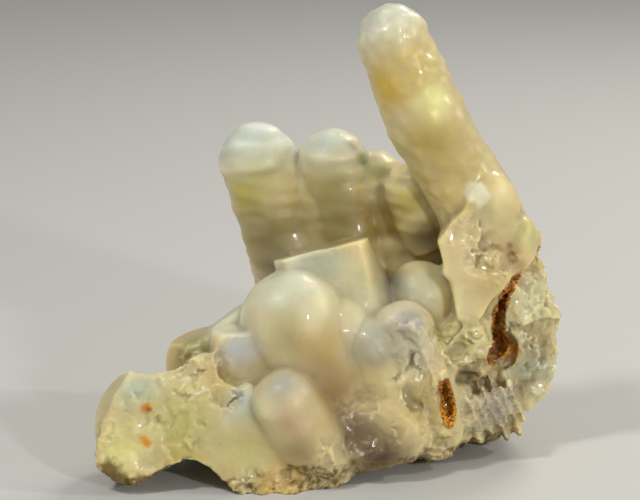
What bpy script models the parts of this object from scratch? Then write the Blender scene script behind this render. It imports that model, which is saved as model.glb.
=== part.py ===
"""A stalactitic chalcedony specimen, the kind sold as fossil bamboo agate, grown as one solid.

Round-ended fingers of chalcedony lean the same way out of a broken crust. One tall finger stands at the
right, a fused row stands behind, and short broken ones crowd the front. Metres, +Z up, camera side at -Y.
The origin is the middle of the object's box, at the level that its feet stand on.
"""

import math

import bmesh
import bpy
from mathutils import Matrix, Vector, noise

MM = 0.001

# Driving dimensions of the whole solid, in millimetres
VOXEL = 0.62
FINAL_TRIANGLES = 9400
RING_STEP = 1.6
RING_SIDES = 28
DOME_RINGS = 6
LUMP_SPLITS = 3

# Each finger is a path from its root to the centre of its round end, with a radius at each point
TALL_FINGER = [((37, 8, 27), 9.8), ((33.2, 6.3, 42), 8.6), ((30.0, 5.5, 50.6), 8.1), ((25.0, 4.5, 58.8), 7.6),
               ((20.6, 3.5, 66.9), 7.9), ((17.2, 2.8, 75.0), 7.4), ((13.8, 2.0, 82.7), 6.8)]
BACK_FINGERS = {
    "left": [((-0.5, 17, 20), 9.0), ((-8.2, 16, 44), 8.0), ((-12.4, 15, 56.6), 7.6)],
    "middle": [((11, 17, 22), 9.4), ((5.4, 17, 43), 8.4), ((2.4, 16.6, 55.0), 7.5)],
    "right": [((18, 18, 24), 8.4), ((13.6, 18.0, 42), 7.7), ((10.6, 17.6, 51.6), 6.3)],
    "web": [((3.2, 16.2, 20), 7.2), ((-1.4, 15.9, 44), 6.6), ((-4.6, 15.8, 50.6), 5.4)],
    "drip": [((22.0, 10.0, 39.4), 3.6), ((19.6, 10.4, 46), 5.4), ((18.2, 10.6, 51.6), 5.6)],
    "rear": [((2, 13, 6), 7.6), ((-3.6, 21.6, 20), 7.2), ((-7.4, 24.0, 31), 6.6), ((-9.4, 24.6, 38.5), 6.0)],
    "rear_low": [((15, 12, 6), 7.6), ((12.2, 23.4, 15), 7.2), ((9.8, 26.2, 24), 6.8),
                 ((8.6, 26.8, 29.5), 6.3)],
}
FRONT_FINGERS = {
    "great_dome": [((6, -2, 2), 11.4), ((-1.2, -5, 19), 10.6), ((-5.2, -6, 29.5), 10.2)],
    "great_dome_side": [((10, -1, 4), 10.0), ((5.2, -3.4, 18), 9.4), ((2.6, -3.6, 26.4), 8.6)],
    "small_dome": [((14.5, -4, 8), 7.8), ((12, -5.8, 18), 7.2), ((10.2, -6.6, 24.4), 6.4)],
    "pale_dome": [((24, 6, 16), 7.0), ((20.0, 2.6, 32.0), 6.9)],
    "foot_dome": [((1.6, -11.4, 0.6), 7.4), ((-1.4, -14.4, 7.0), 7.4), ((-4.0, -15.4, 12.0), 7.0),
                  ((-6.4, -16.0, 16.4), 6.3)],
}
# A finger that broke off square to its length: a point of each break and the way it faces
BROKEN_FINGER = [((13, 4, 8), 11.0), ((6.3, 2.6, 26.3), 10.0), ((-1.2, 0.4, 45), 9.3)]
FINGER_BREAKS = [((-0.5, -3.0, 42.7), (-0.24, 0.22, 0.95)), ((1.0, -5.4, 40.0), (0.10, -0.97, 0.20))]
# The front of another dome sprang off, and left a glassy face
CHIPPED_DOME = [((21.6, -4, 8), 8.4), ((18.6, -5.8, 18), 7.8), ((16.0, -6.6, 26.6), 6.8)]
DOME_BREAKS = [((15.4, -11.0, 22.0), (-0.30, -0.92, -0.10))]

# Each lump of crust is an ellipsoid: centre, half sizes, turn about Z and lean about Y, and flat breaks.
# A break is the way it faces and how far out it lies, as a share of the lump
CRUST = [
    ((6, 1, 9), (24, 17, 11), (10, 0), []),
    ((31, 9, 14), (12, 10, 15), (20, 0), [((0.1, -1, 0.1), 0.86), ((0.8, -0.5, -0.3), 0.9)]),
    ((9, 16, 12), (20, 11, 14), (0, 0), [((0.1, 1, 0.35), 0.86)]),
    ((22, 15.5, 33), (10, 6.0, 17), (0, -14), [((0.1, 1, 0.1), 0.8)]),
    ((-19, -6, 8.5), (15, 11, 9.5), (-8, 0), [((-0.2, 0.5, 0.85), 0.78)]),
    ((-34.4, -11.5, 10.0), (9.0, 9.0, 11.2), (10, 0), [((0.25, 0.2, 0.95), 0.84),
                                                       ((-0.1, -0.95, 0.15), 0.86)]),
    ((-15.2, -8.0, 22.8), (7.4, 7.6, 8.6), (0, 4), [((0, -1, 0.12), 0.70), ((-0.1, 0, 1), 0.72),
                                                    ((-1, 0, 0), 0.80)]),
    ((-22.6, -3, 20.5), (7.8, 6.5, 7.6), (25, 0), [((-0.25, 0.1, 0.95), 0.72), ((-0.9, -0.3, 0.1), 0.80)]),
    ((-15.8, -1.5, 23.0), (7.0, 7.0, 8.6), (0, 0), [((-0.5, 0.1, 0.86), 0.78)]),
    ((6.4, -8.2, 7.6), (16, 9.4, 9.4), (-14, 0), [((0.1, -0.86, 0.5), 0.76)]),
    ((19.5, -6, 8.0), (9, 7.5, 8.5), (0, 0), [((0.1, -1, 0.0), 0.80), ((0.5, -0.8, 0.3), 0.84)]),
    ((24.2, -5.4, 4.8), (2.5, 3.0, 5.2), (0, 4), [((0.3, -0.9, 0.1), 0.7)]),
    ((28.4, -1.2, 23.0), (6.4, 5.8, 7.4), (0, 0), [((0.25, -0.9, 0.2), 0.76), ((-0.4, -0.8, 0.4), 0.8)]),
    ((35.6, 14, 26.0), (7.6, 8, 20.0), (0, 0), [((0.9, 0.4, 0.2), 0.76), ((0.1, 1, 0.1), 0.74)]),
    ((27, 17, 15), (12, 9, 14), (0, 0), [((0.2, 1, 0.3), 0.80)]),
    ((32.8, 1.2, 50.5), (5.6, 5.4, 8.0), (0, -24), []),
    ((38.6, 0.6, 42.6), (3.4, 5.0, 6.4), (0, 6), []),
    ((28.0, -3.6, 23.4), (6.0, 5.2, 6.4), (0, 0), [((0.1, -0.96, 0.25), 0.80), ((0.2, -0.3, -0.93), 0.66)]),
    ((6, 20, 9), (17, 8, 9), (6, 0), [((0, 1, 0.2), 0.84)]),
    ((-10, 9, 12), (12, 10, 10), (-20, 0), [((-0.5, 0.6, 0.5), 0.80)]),
]

# Three slabs of broken chalcedony, each with its outline as seen from the front, x and z: the leaf that hangs
# before the tall finger's root, the right wall beyond the rusty cleft, and the low face at the left.
# A slab also has its front and back y, how its front leans with x and z, how much lower its back lies and
# how much smaller it is, and the width of its worn edge
LEAF = [(37.2, 50.6), (35.2, 53.5), (30.8, 55.1), (28.4, 53.7), (27.1, 51.0), (25.0, 49.2), (23.1, 46.2),
        (22.2, 45.1), (23.4, 40.7), (23.3, 38.7), (25.2, 36.9), (25.8, 33.7), (26.1, 29.1), (28.4, 28.1),
        (30.4, 28.7), (31.9, 31.1), (33.2, 33.1), (35.6, 35.1), (37.3, 37.3), (38.6, 39.9), (39.3, 43.1),
        (38.8, 46.0)]
LEAF_FACES, LEAF_LEAN, LEAF_DROP, LEAF_TAPER, LEAF_EDGE = (-5.0, 6.0), (0.16, 0.10), 1.0, 0.9, 1.2
WALL = [(38.8, 35.4), (40.1, 38.5), (40.5, 40.9), (39.8, 44.0), (41.1, 46.2), (43.1, 45.6), (43.9, 42.3),
        (42.8, 40.9), (44.9, 38.5), (44.7, 36.1), (43.2, 34.6), (44.8, 32.6), (46.8, 29.7), (47.5, 26.2),
        (47.4, 21.5), (46.5, 15.9), (44.6, 10.6), (41.5, 7.7), (38.3, 9.0), (35.4, 12.5), (33.3, 16.5),
        (38.1, 17.9), (38.4, 21.9), (36.7, 25.6), (37.2, 31.2)]
WALL_FACES, WALL_LEAN, WALL_DROP, WALL_TAPER, WALL_EDGE = (1.6, 17.0), (0.22, 0.0), 2.0, 0.72, 1.5
LOW_FACE = [(-36.1, 22.7), (-39.2, 18.2), (-41.8, 12.0), (-43.0, 8.2), (-42.4, 5.5), (-39.8, 2.7), (-35.6, 1.7),
            (-32.3, 3.1), (-27.5, 5.7), (-23.7, 6.1), (-20.3, 4.3), (-15.6, -0.4), (-12.0, -3.0), (-6.4, -3.0),
            (-3.4, -0.6), (-0.4, 2.2), (-3.8, 9.6), (-9.8, 16.6), (-13.2, 19.9), (-18.2, 20.3), (-19.7, 26.1),
            (-24.4, 26.1), (-27.2, 23.1), (-31.9, 22.1)]
LOW_FACES, LOW_LEAN, LOW_DROP, LOW_TAPER, LOW_EDGE = (-19.6, -5.0), (0.06, 0.30), 5.0, 0.88, 1.4

# Ribs of quartz under the right wall: upright fins with ragged lower ends
RIBS = 5
RIB_FIRST = (27.2, -2.2, 9.8)
RIB_STEP = (2.6, 0.7, 0.2)
RIB_HALF_SIZE = (1.4, 5.6, 7.4)
RIB_LEAN = -16
RIB_UNEVEN, RIB_RHYTHM = 0.16, 2.4

# What is hollowed out: the two rusty clefts, and the arches between the feet
CLEFTS = [
    ((36.9, 0.5, 34.8), (0.7, 5.6, 2.8), (0, 28), []),
    ((35.4, 0.3, 31.2), (0.9, 6.0, 2.8), (0, 12), []),
    ((34.8, 0.0, 27.2), (1.1, 6.4, 3.2), (0, -4), []),
    ((33.4, -0.5, 22.6), (2.7, 6.0, 2.5), (0, -18), []),
    ((24.4, -8.4, 15.2), (1.3, 6.4, 5.8), (0, -8), [((0, 0, 1), 0.66), ((0, 0, -1), 0.66)]),
    ((28.8, -6.4, 17.6), (3.2, 3.4, 1.3), (0, 8), []),
]
ARCHES = [
    ((-23.5, -14, -1.2), (8.2, 16, 6.2)),
    ((18, -14, -3.4), (18, 12, 6.4)),
    ((2, 4, -4), (25, 14, 8)),
    ((-14, 14, -2), (16, 15, 8)),
    ((24, 27, -2), (10, 12, 6)),
]

# Relief of the broken faces: chips of a few millimetres, and how deep they are
CHIP_SIZE, CHIP_DEPTH = 4.6, 1.3
CHIP_STEP, CHIP_TILT, CHIP_HOLLOW = 0.5, 1.6, 0.9
# Each chip's own tilt and height are read from noise at its middle, at these two scales; the tilt's three
# parts are read this far apart
TILT_SCALE, STEP_SCALE = 7.3, 3.1
TILT_SHIFTS = (0, 31, 67)
RIND_LUMP, RIND_DEPTH = 2.6, 0.35
# Where the surface is broken: middle, reach and how much; past the reach the relief fades out
ROUGH_PLACES = [((41, 10, 36), 9, 1.0), ((44, 8, 20), 12, 0.8), ((32, -3, 44), 8, 0.5), ((29, -4, 22), 6, 1.0),
                ((32, -4, 8), 9, 0.5), ((22, -10, 24), 9, 1.0), ((-24, -12, 20), 8, 1.0),
                ((-30, -16, 12), 12, 0.4), ((-34, -12, 6), 9, 0.6), ((8, -12, 4), 11, 1.0), ((20, -8, 4), 8, 1.0),
                ((6, 0, -2), 22, 1.0), ((30, 22, 18), 16, 1.0), ((-10, 14, 4), 14, 1.0)]
# The whole foot line is ragged up to this height, and the raggedness fades in over this much more
RAGGED_TOP, RAGGED_FADE, RAGGED_SHARE = 3.0, 3.0, 0.8
ROUGH_FADE, ROUGH_EDGE = 2.2, 1.15
# The round ends keep this share of it, as far out as this many of their radii
SMOOTH_END, SMOOTH_SHARE = 1.45, 0.3
ROUGH_LEAST = 0.01

STONE_COLOUR = (0.78, 0.74, 0.58, 1)


def smooth_path(stations, step):
    """Points and radii read off a smooth curve through the stations, about one every step."""
    points = [Vector(p) for p, _ in stations]
    radii = [r for _, r in stations]
    first, last = points[0] * 2 - points[1], points[-1] * 2 - points[-2]
    ends = [first] + points + [last]
    rings = []
    for i in range(len(points) - 1):
        a, b, c, d = ends[i:i + 4]
        count = max(2, round((c - b).length / step))
        for k in range(count):
            t = k / count
            spot = 0.5 * (2 * b + (c - a) * t + (2 * a - 5 * b + 4 * c - d) * t**2
                          + (3 * b - 3 * c + d - a) * t**3)
            ease = t * t * (3 - 2 * t)
            rings.append((spot, radii[i] + (radii[i + 1] - radii[i]) * ease))
    return rings + [(points[-1], radii[-1])]


def add_finger(bm, stations):
    """A round-ended finger: rings bridged along its path, closed by a dome and a flat root."""
    rings = smooth_path(stations, RING_STEP)
    end, radius = rings[-1]
    way = (end - rings[-2][0]).normalized()
    for k in range(1, DOME_RINGS):
        angle = math.pi / 2 * k / DOME_RINGS
        rings.append((end + way * radius * math.sin(angle), radius * math.cos(angle)))
    loops = []
    for i, (spot, size) in enumerate(rings):
        ahead = rings[min(i + 1, len(rings) - 1)][0] - rings[max(i - 1, 0)][0]
        turn = ahead.to_track_quat("Z", "Y").to_matrix().to_4x4()
        ring = bmesh.ops.create_circle(bm, segments=RING_SIDES, radius=size,
                                       matrix=Matrix.Translation(spot) @ turn)["verts"]
        loops.append(list(dict.fromkeys(edge for vert in ring for edge in vert.link_edges)))
    for lower, upper in zip(loops, loops[1:]):
        bmesh.ops.bridge_loops(bm, edges=lower + upper)
    for loop in (loops[0], loops[-1]):
        bmesh.ops.edgeloop_fill(bm, edges=loop)


def break_off(bm, point, normal):
    """Cuts away what lies past a plane and closes the cut with a flat face."""
    everything = bm.verts[:] + bm.edges[:] + bm.faces[:]
    cut = bmesh.ops.bisect_plane(bm, geom=everything, plane_co=point, plane_no=normal, clear_outer=True)
    rim = [e for e in cut["geom_cut"] if isinstance(e, bmesh.types.BMEdge)]
    if rim:
        bmesh.ops.edgeloop_fill(bm, edges=rim)


def add_lump(bm, centre, half_size, turn_and_lean=(0, 0), breaks=()):
    """An ellipsoid of crust, with flat breaks across it."""
    lump = bmesh.new()
    bmesh.ops.create_icosphere(lump, subdivisions=LUMP_SPLITS, radius=1)
    for normal, share in breaks:
        way = Vector(normal).normalized()
        break_off(lump, way * share, way)
    turn, lean = (math.radians(angle) for angle in turn_and_lean)
    place = (Matrix.Translation(centre) @ Matrix.Rotation(turn, 4, "Z") @ Matrix.Rotation(lean, 4, "Y")
             @ Matrix.Diagonal((*half_size, 1)))
    bmesh.ops.transform(lump, matrix=place, verts=lump.verts)
    absorb(bm, lump)


def absorb(bm, piece):
    """Adds a finished shape to the others and lets it go."""
    mesh = bpy.data.meshes.new("shape")
    bmesh.ops.recalc_face_normals(piece, faces=piece.faces)
    piece.to_mesh(mesh)
    piece.free()
    bm.from_mesh(mesh)
    bpy.data.meshes.remove(mesh)


def add_broken(bm, stations, breaks):
    """A finger with parts of it broken off flat."""
    finger = bmesh.new()
    add_finger(finger, stations)
    for point, normal in breaks:
        break_off(finger, Vector(point), Vector(normal).normalized())
    absorb(bm, finger)


def add_slab(bm, outline, faces, lean, drop, taper, edge):
    """A thick plate of broken chalcedony with worn edges, its front leaning with x and z."""
    slab = bmesh.new()
    middle = Vector((sum(x for x, _ in outline), sum(z for _, z in outline))) / len(outline)
    centre = Matrix.Translation((-middle.x, 0, -middle.y))
    worn = 1 - edge * len(outline) / sum((Vector(spot) - middle).length for spot in outline)
    rim = [slab.verts.new((x, faces[0] + lean[0] * (x - middle.x) + lean[1] * (z - middle.y), z))
           for x, z in outline]
    face = slab.faces.new(rim)
    bmesh.ops.scale(slab, verts=rim, vec=(worn, 1, worn), space=centre)
    thickness = faces[1] - faces[0]
    for share, back, fall in ((1 / worn, edge, 0), (taper, thickness - 2 * edge, drop), (worn, edge, 0)):
        grown = bmesh.ops.extrude_face_region(slab, geom=[face])["geom"]
        moved = [part for part in grown if isinstance(part, bmesh.types.BMVert)]
        face = next(part for part in grown if isinstance(part, bmesh.types.BMFace))
        bmesh.ops.scale(slab, verts=moved, vec=(share, 1, share), space=centre)
        bmesh.ops.translate(slab, verts=moved, vec=(0, back, -fall))
    absorb(bm, slab)


def add_ribs(bm):
    """Upright fins side by side under the right wall, each a flattened lump of its own length."""
    for i in range(RIBS):
        length = RIB_HALF_SIZE[2] * (1 + RIB_UNEVEN * math.sin(RIB_RHYTHM * i))
        spot = Vector(RIB_FIRST) + Vector(RIB_STEP) * i
        add_lump(bm, spot, (RIB_HALF_SIZE[0], RIB_HALF_SIZE[1], length), (0, RIB_LEAN))


def object_from(bm, name):
    """A scene object from a bmesh in millimetres, its faces turned outwards."""
    bmesh.ops.recalc_face_normals(bm, faces=bm.faces)
    mesh = bpy.data.meshes.new(name)
    bm.to_mesh(mesh)
    bm.free()
    obj = bpy.data.objects.new(name, mesh)
    bpy.context.scene.collection.objects.link(obj)
    return obj


def settle(obj):
    """Makes the object's modifiers permanent."""
    graph = bpy.context.evaluated_depsgraph_get()
    mesh = bpy.data.meshes.new_from_object(obj.evaluated_get(graph))
    obj.modifiers.clear()
    obj.data = mesh


def fuse(obj, voxel):
    """Fuses overlapping shapes into one closed skin."""
    remesh = obj.modifiers.new("fuse", "REMESH")
    remesh.mode = "VOXEL"
    remesh.voxel_size = voxel
    settle(obj)


def chip_relief(point):
    """How far a broken face stands out at a point: shell-shaped chips that meet in ridges."""
    spot = point / CHIP_SIZE
    heights = []
    for seed in noise.voronoi(spot)[1]:
        away = spot - seed
        lean = Vector(noise.noise(seed * TILT_SCALE + Vector((shift, 0, 0))) for shift in TILT_SHIFTS)
        heights.append(CHIP_STEP * noise.noise(seed * STEP_SCALE) + CHIP_TILT * lean.dot(away)
                       + CHIP_HOLLOW * away.length_squared)
    return min(heights)


def roughness_at(point):
    """1 on the broken crust, 0 on the smooth domes and fingers."""
    share = RAGGED_SHARE * max(0.0, min(1.0, (RAGGED_TOP + RAGGED_FADE - point.z) / RAGGED_FADE))
    for centre, reach, amount in ROUGH_PLACES:
        away = (point - Vector(centre)).length / reach
        share = max(share, amount * min(1.0, ROUGH_FADE * (ROUGH_EDGE - away)))
    for path in [TALL_FINGER, *BACK_FINGERS.values(), *FRONT_FINGERS.values()]:
        end, radius = Vector(path[-1][0]), path[-1][1]
        if (point - end).length < radius * SMOOTH_END:
            share *= SMOOTH_SHARE
    return max(0.0, share)


def roughen(obj):
    """Breaks up the crust's surface with chips and a knobbly rind."""
    skin = bmesh.new()
    skin.from_mesh(obj.data)
    skin.normal_update()
    moves = []
    for vert in skin.verts:
        rough = roughness_at(vert.co)
        push = 0.0
        if rough > ROUGH_LEAST:
            push = CHIP_DEPTH * chip_relief(vert.co) + RIND_DEPTH * noise.noise(vert.co / RIND_LUMP)
        moves.append(vert.normal * push * rough)
    for vert, move in zip(skin.verts, moves):
        vert.co += move
    skin.to_mesh(obj.data)
    skin.free()


def hollow_out(obj):
    """Cuts the clefts and the arches under the solid."""
    cutter = bmesh.new()
    for centre, half_size in ARCHES:
        add_lump(cutter, centre, half_size)
    for centre, half_size, turn_and_lean, breaks in CLEFTS:
        add_lump(cutter, centre, half_size, turn_and_lean, breaks)
    tool = object_from(cutter, "hollows")
    fuse(tool, VOXEL)
    cut = obj.modifiers.new("hollow_out", "BOOLEAN")
    cut.operation = "DIFFERENCE"
    cut.object = tool
    settle(obj)
    bpy.data.objects.remove(tool)


def build_agate():
    """The whole specimen in millimetres, fused, hollowed, roughened and thinned."""
    shapes = bmesh.new()
    for path in [TALL_FINGER, *BACK_FINGERS.values(), *FRONT_FINGERS.values()]:
        finger = bmesh.new()
        add_finger(finger, path)
        absorb(shapes, finger)
    add_broken(shapes, BROKEN_FINGER, FINGER_BREAKS)
    add_broken(shapes, CHIPPED_DOME, DOME_BREAKS)
    for centre, half_size, turn_and_lean, breaks in CRUST:
        add_lump(shapes, centre, half_size, turn_and_lean, breaks)
    add_slab(shapes, LEAF, LEAF_FACES, LEAF_LEAN, LEAF_DROP, LEAF_TAPER, LEAF_EDGE)
    add_slab(shapes, WALL, WALL_FACES, WALL_LEAN, WALL_DROP, WALL_TAPER, WALL_EDGE)
    add_slab(shapes, LOW_FACE, LOW_FACES, LOW_LEAN, LOW_DROP, LOW_TAPER, LOW_EDGE)
    add_ribs(shapes)
    agate = object_from(shapes, "agate_specimen")
    fuse(agate, VOXEL)
    hollow_out(agate)
    fuse(agate, VOXEL)
    roughen(agate)
    thin = agate.modifiers.new("thin", "DECIMATE")
    thin.ratio = FINAL_TRIANGLES / sum(len(p.vertices) - 2 for p in agate.data.polygons)
    settle(agate)
    return agate


def keep_outer_skin(bm):
    """Leaves only the largest connected skin, so that no sealed pocket or loose crumb stays."""
    unseen = set(bm.verts)
    skins = []
    while unseen:
        start = unseen.pop()
        skin, edge_of_skin = {start}, [start]
        while edge_of_skin:
            near = {vert for edge in edge_of_skin.pop().link_edges for vert in edge.verts} & unseen
            unseen -= near
            skin |= near
            edge_of_skin.extend(near)
        skins.append(skin)
    largest = max(skins, key=len)
    bmesh.ops.delete(bm, geom=[vert for vert in bm.verts if vert not in largest], context="VERTS")


def stand_on_feet(agate):
    """Cuts the feet flat at the floor, turns millimetres into metres and centres the box over the origin."""
    bm = bmesh.new()
    bm.from_mesh(agate.data)
    break_off(bm, Vector((0, 0, 0)), Vector((0, 0, -1)))
    keep_outer_skin(bm)
    bmesh.ops.scale(bm, vec=(MM, MM, MM), verts=bm.verts)
    low = Vector(min(v.co[i] for v in bm.verts) for i in range(3))
    high = Vector(max(v.co[i] for v in bm.verts) for i in range(3))
    middle = (low + high) / 2
    bmesh.ops.translate(bm, verts=bm.verts, vec=(-middle.x, -middle.y, -low.z))
    bmesh.ops.triangulate(bm, faces=bm.faces)
    bm.to_mesh(agate.data)
    bm.free()
    return Vector((middle.x, middle.y, low.z)) / MM


for leftover in list(bpy.data.objects):
    bpy.data.objects.remove(leftover)

stone = bpy.data.materials.new("chalcedony")
stone.use_nodes = True
shader = stone.node_tree.nodes["Principled BSDF"]
shader.inputs["Base Color"].default_value = STONE_COLOUR
shader.inputs["Roughness"].default_value = 0.25
shader.inputs["Metallic"].default_value = 0.0

specimen = build_agate()
box_middle = stand_on_feet(specimen)
specimen.data.materials.clear()
specimen.data.materials.append(stone)
specimen.data.shade_smooth()
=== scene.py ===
import math
import random

import bmesh
import bpy
import numpy as np
from mathutils import Matrix, Vector, noise


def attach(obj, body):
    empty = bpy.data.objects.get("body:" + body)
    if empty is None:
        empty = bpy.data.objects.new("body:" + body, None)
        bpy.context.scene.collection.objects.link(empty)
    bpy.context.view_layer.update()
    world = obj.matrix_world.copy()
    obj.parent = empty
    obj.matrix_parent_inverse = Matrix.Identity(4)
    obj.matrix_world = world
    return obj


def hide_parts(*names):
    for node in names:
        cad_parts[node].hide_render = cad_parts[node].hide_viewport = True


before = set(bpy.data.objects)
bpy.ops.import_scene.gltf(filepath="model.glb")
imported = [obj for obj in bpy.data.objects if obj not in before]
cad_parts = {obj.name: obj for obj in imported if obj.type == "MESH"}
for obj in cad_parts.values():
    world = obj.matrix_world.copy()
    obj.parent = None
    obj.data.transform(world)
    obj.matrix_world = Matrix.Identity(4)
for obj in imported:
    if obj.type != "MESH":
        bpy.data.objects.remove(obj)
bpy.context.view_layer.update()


# The round-ended fingers of chalcedony. Silica gel grew each one as a long drop around a thread, so they
# are smooth, a little lumpy, and all lean the same way. Sizes are in millimetres and are measured from
# the spot that the photograph's camera aims at; the finished stone is moved to the part's own origin.
MM = 0.001
MIDDLE = Vector((2.198, 5.152, 0.0))
RING_STEP = 1.2
RING_SIDES = 44
DOME_RINGS = 9

TALL_FINGER = [((37, 8, 27), 9.8), ((33.2, 6.3, 42), 8.6), ((30.0, 5.5, 50.6), 8.1), ((25.0, 4.5, 58.8), 7.6),
               ((20.6, 3.5, 66.9), 7.9), ((17.2, 2.8, 75.0), 7.4), ((13.8, 2.0, 82.7), 6.8)]
BACK_FINGERS = {
    "left": [((-0.5, 17, 20), 9.0), ((-8.2, 16, 44), 8.0), ((-12.4, 15, 56.6), 7.6)],
    "middle": [((11, 17, 22), 9.4), ((5.4, 17, 43), 8.4), ((2.4, 16.6, 55.0), 7.5)],
    "right": [((18, 18, 24), 8.4), ((13.6, 18.0, 42), 7.7), ((10.6, 17.6, 51.6), 6.3)],
    "web": [((3.2, 16.2, 20), 7.2), ((-1.4, 15.9, 44), 6.6), ((-4.6, 15.8, 50.6), 5.4)],
    "drip": [((22.0, 10.0, 39.4), 3.6), ((19.6, 10.4, 46), 5.4), ((18.2, 10.6, 51.6), 5.6)],
    "rear": [((2, 13, 6), 7.6), ((-3.6, 21.6, 20), 7.2), ((-7.4, 24.0, 31), 6.6), ((-9.4, 24.6, 38.5), 6.0)],
    "rear_low": [((15, 12, 6), 7.6), ((12.2, 23.4, 15), 7.2), ((9.8, 26.2, 24), 6.8),
                 ((8.6, 26.8, 29.5), 6.3)],
}
FRONT_FINGERS = {
    "great_dome": [((6, -2, 2), 11.4), ((-1.2, -5, 19), 10.6), ((-5.2, -6, 29.5), 10.2)],
    "great_dome_side": [((10, -1, 4), 10.0), ((5.2, -3.4, 18), 9.4), ((2.6, -3.6, 26.4), 8.6)],
    "small_dome": [((14.5, -4, 8), 7.8), ((12, -5.8, 18), 7.2), ((10.2, -6.6, 24.4), 6.4)],
    "pale_dome": [((24, 6, 16), 7.0), ((20.0, 2.6, 32.0), 6.9)],
    "foot_dome": [((1.6, -11.4, 0.6), 7.4), ((-1.4, -14.4, 7.0), 7.4), ((-4.0, -15.4, 12.0), 7.0),
                  ((-6.4, -16.0, 16.4), 6.3)],
}
# One finger broke off square to its length, its break a little tipped
BROKEN_FINGER = [((13, 4, 8), 11.0), ((6.3, 2.6, 26.3), 10.0), ((-1.2, 0.4, 45), 9.3)]
FINGER_BREAKS = [((-0.5, -3.0, 42.7), (-0.24, 0.22, 0.95)), ((1.0, -5.4, 40.0), (0.10, -0.97, 0.20))]
# The front of another dome sprang off, and left a glassy face
CHIPPED_DOME = [((21.6, -4, 8), 8.4), ((18.6, -5.8, 18), 7.8), ((16.0, -6.6, 26.6), 6.8)]
DOME_BREAKS = [((15.4, -11.0, 22.0), (-0.30, -0.92, -0.10))]


def smooth_path(stations, step):
    """Points and radii read off a smooth curve through the stations, about one every step."""
    points = [Vector(p) for p, _ in stations]
    radii = [r for _, r in stations]
    ends = [points[0] * 2 - points[1]] + points + [points[-1] * 2 - points[-2]]
    rings = []
    for i in range(len(points) - 1):
        a, b, c, d = ends[i:i + 4]
        count = max(2, round((c - b).length / step))
        for k in range(count):
            t = k / count
            spot = 0.5 * (2 * b + (c - a) * t + (2 * a - 5 * b + 4 * c - d) * t**2
                          + (3 * b - 3 * c + d - a) * t**3)
            ease = t * t * (3 - 2 * t)
            rings.append((spot, radii[i] + (radii[i + 1] - radii[i]) * ease))
    return rings + [(points[-1], radii[-1])]


def add_to(growth, piece):
    """Adds a finished shape to the growth and lets it go."""
    mesh = bpy.data.meshes.new("shape")
    bmesh.ops.recalc_face_normals(piece, faces=piece.faces)
    piece.to_mesh(mesh)
    piece.free()
    growth.from_mesh(mesh)
    bpy.data.meshes.remove(mesh)


def grow_finger(stations):
    """A round-ended finger: rings bridged along its path, closed by a dome and a flat root."""
    finger = bmesh.new()
    rings = smooth_path(stations, RING_STEP)
    end, radius = rings[-1]
    way = (end - rings[-2][0]).normalized()
    for k in range(1, DOME_RINGS):
        angle = math.pi / 2 * k / DOME_RINGS
        rings.append((end + way * radius * math.sin(angle), radius * math.cos(angle)))
    loops = []
    for i, (spot, size) in enumerate(rings):
        ahead = rings[min(i + 1, len(rings) - 1)][0] - rings[max(i - 1, 0)][0]
        turn = ahead.to_track_quat("Z", "Y").to_matrix().to_4x4()
        ring = bmesh.ops.create_circle(finger, segments=RING_SIDES, radius=size,
                                       matrix=Matrix.Translation(spot) @ turn)["verts"]
        loops.append(list(dict.fromkeys(edge for vert in ring for edge in vert.link_edges)))
    for lower, upper in zip(loops, loops[1:]):
        bmesh.ops.bridge_loops(finger, edges=lower + upper)
    for loop in (loops[0], loops[-1]):
        bmesh.ops.edgeloop_fill(finger, edges=loop)
    return finger


def break_off(piece, point, normal):
    """Cuts away what lies past a plane and closes the cut with a flat face."""
    everything = piece.verts[:] + piece.edges[:] + piece.faces[:]
    cut = bmesh.ops.bisect_plane(piece, geom=everything, plane_co=point, plane_no=normal, clear_outer=True)
    rim = [e for e in cut["geom_cut"] if isinstance(e, bmesh.types.BMEdge)]
    if rim:
        bmesh.ops.edgeloop_fill(piece, edges=rim)


growth = bmesh.new()
for path in [TALL_FINGER, *BACK_FINGERS.values(), *FRONT_FINGERS.values()]:
    add_to(growth, grow_finger(path))
for path, breaks in ((BROKEN_FINGER, FINGER_BREAKS), (CHIPPED_DOME, DOME_BREAKS)):
    stump = grow_finger(path)
    for point, normal in breaks:
        break_off(stump, Vector(point), Vector(normal).normalized())
    add_to(growth, stump)


# The crust that the fingers grew from: dense chalcedony that was broken out of its vein, so it is all
# lumps with flat breaks, three broken slabs, and a row of upright quartz ribs under the right wall.

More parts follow.
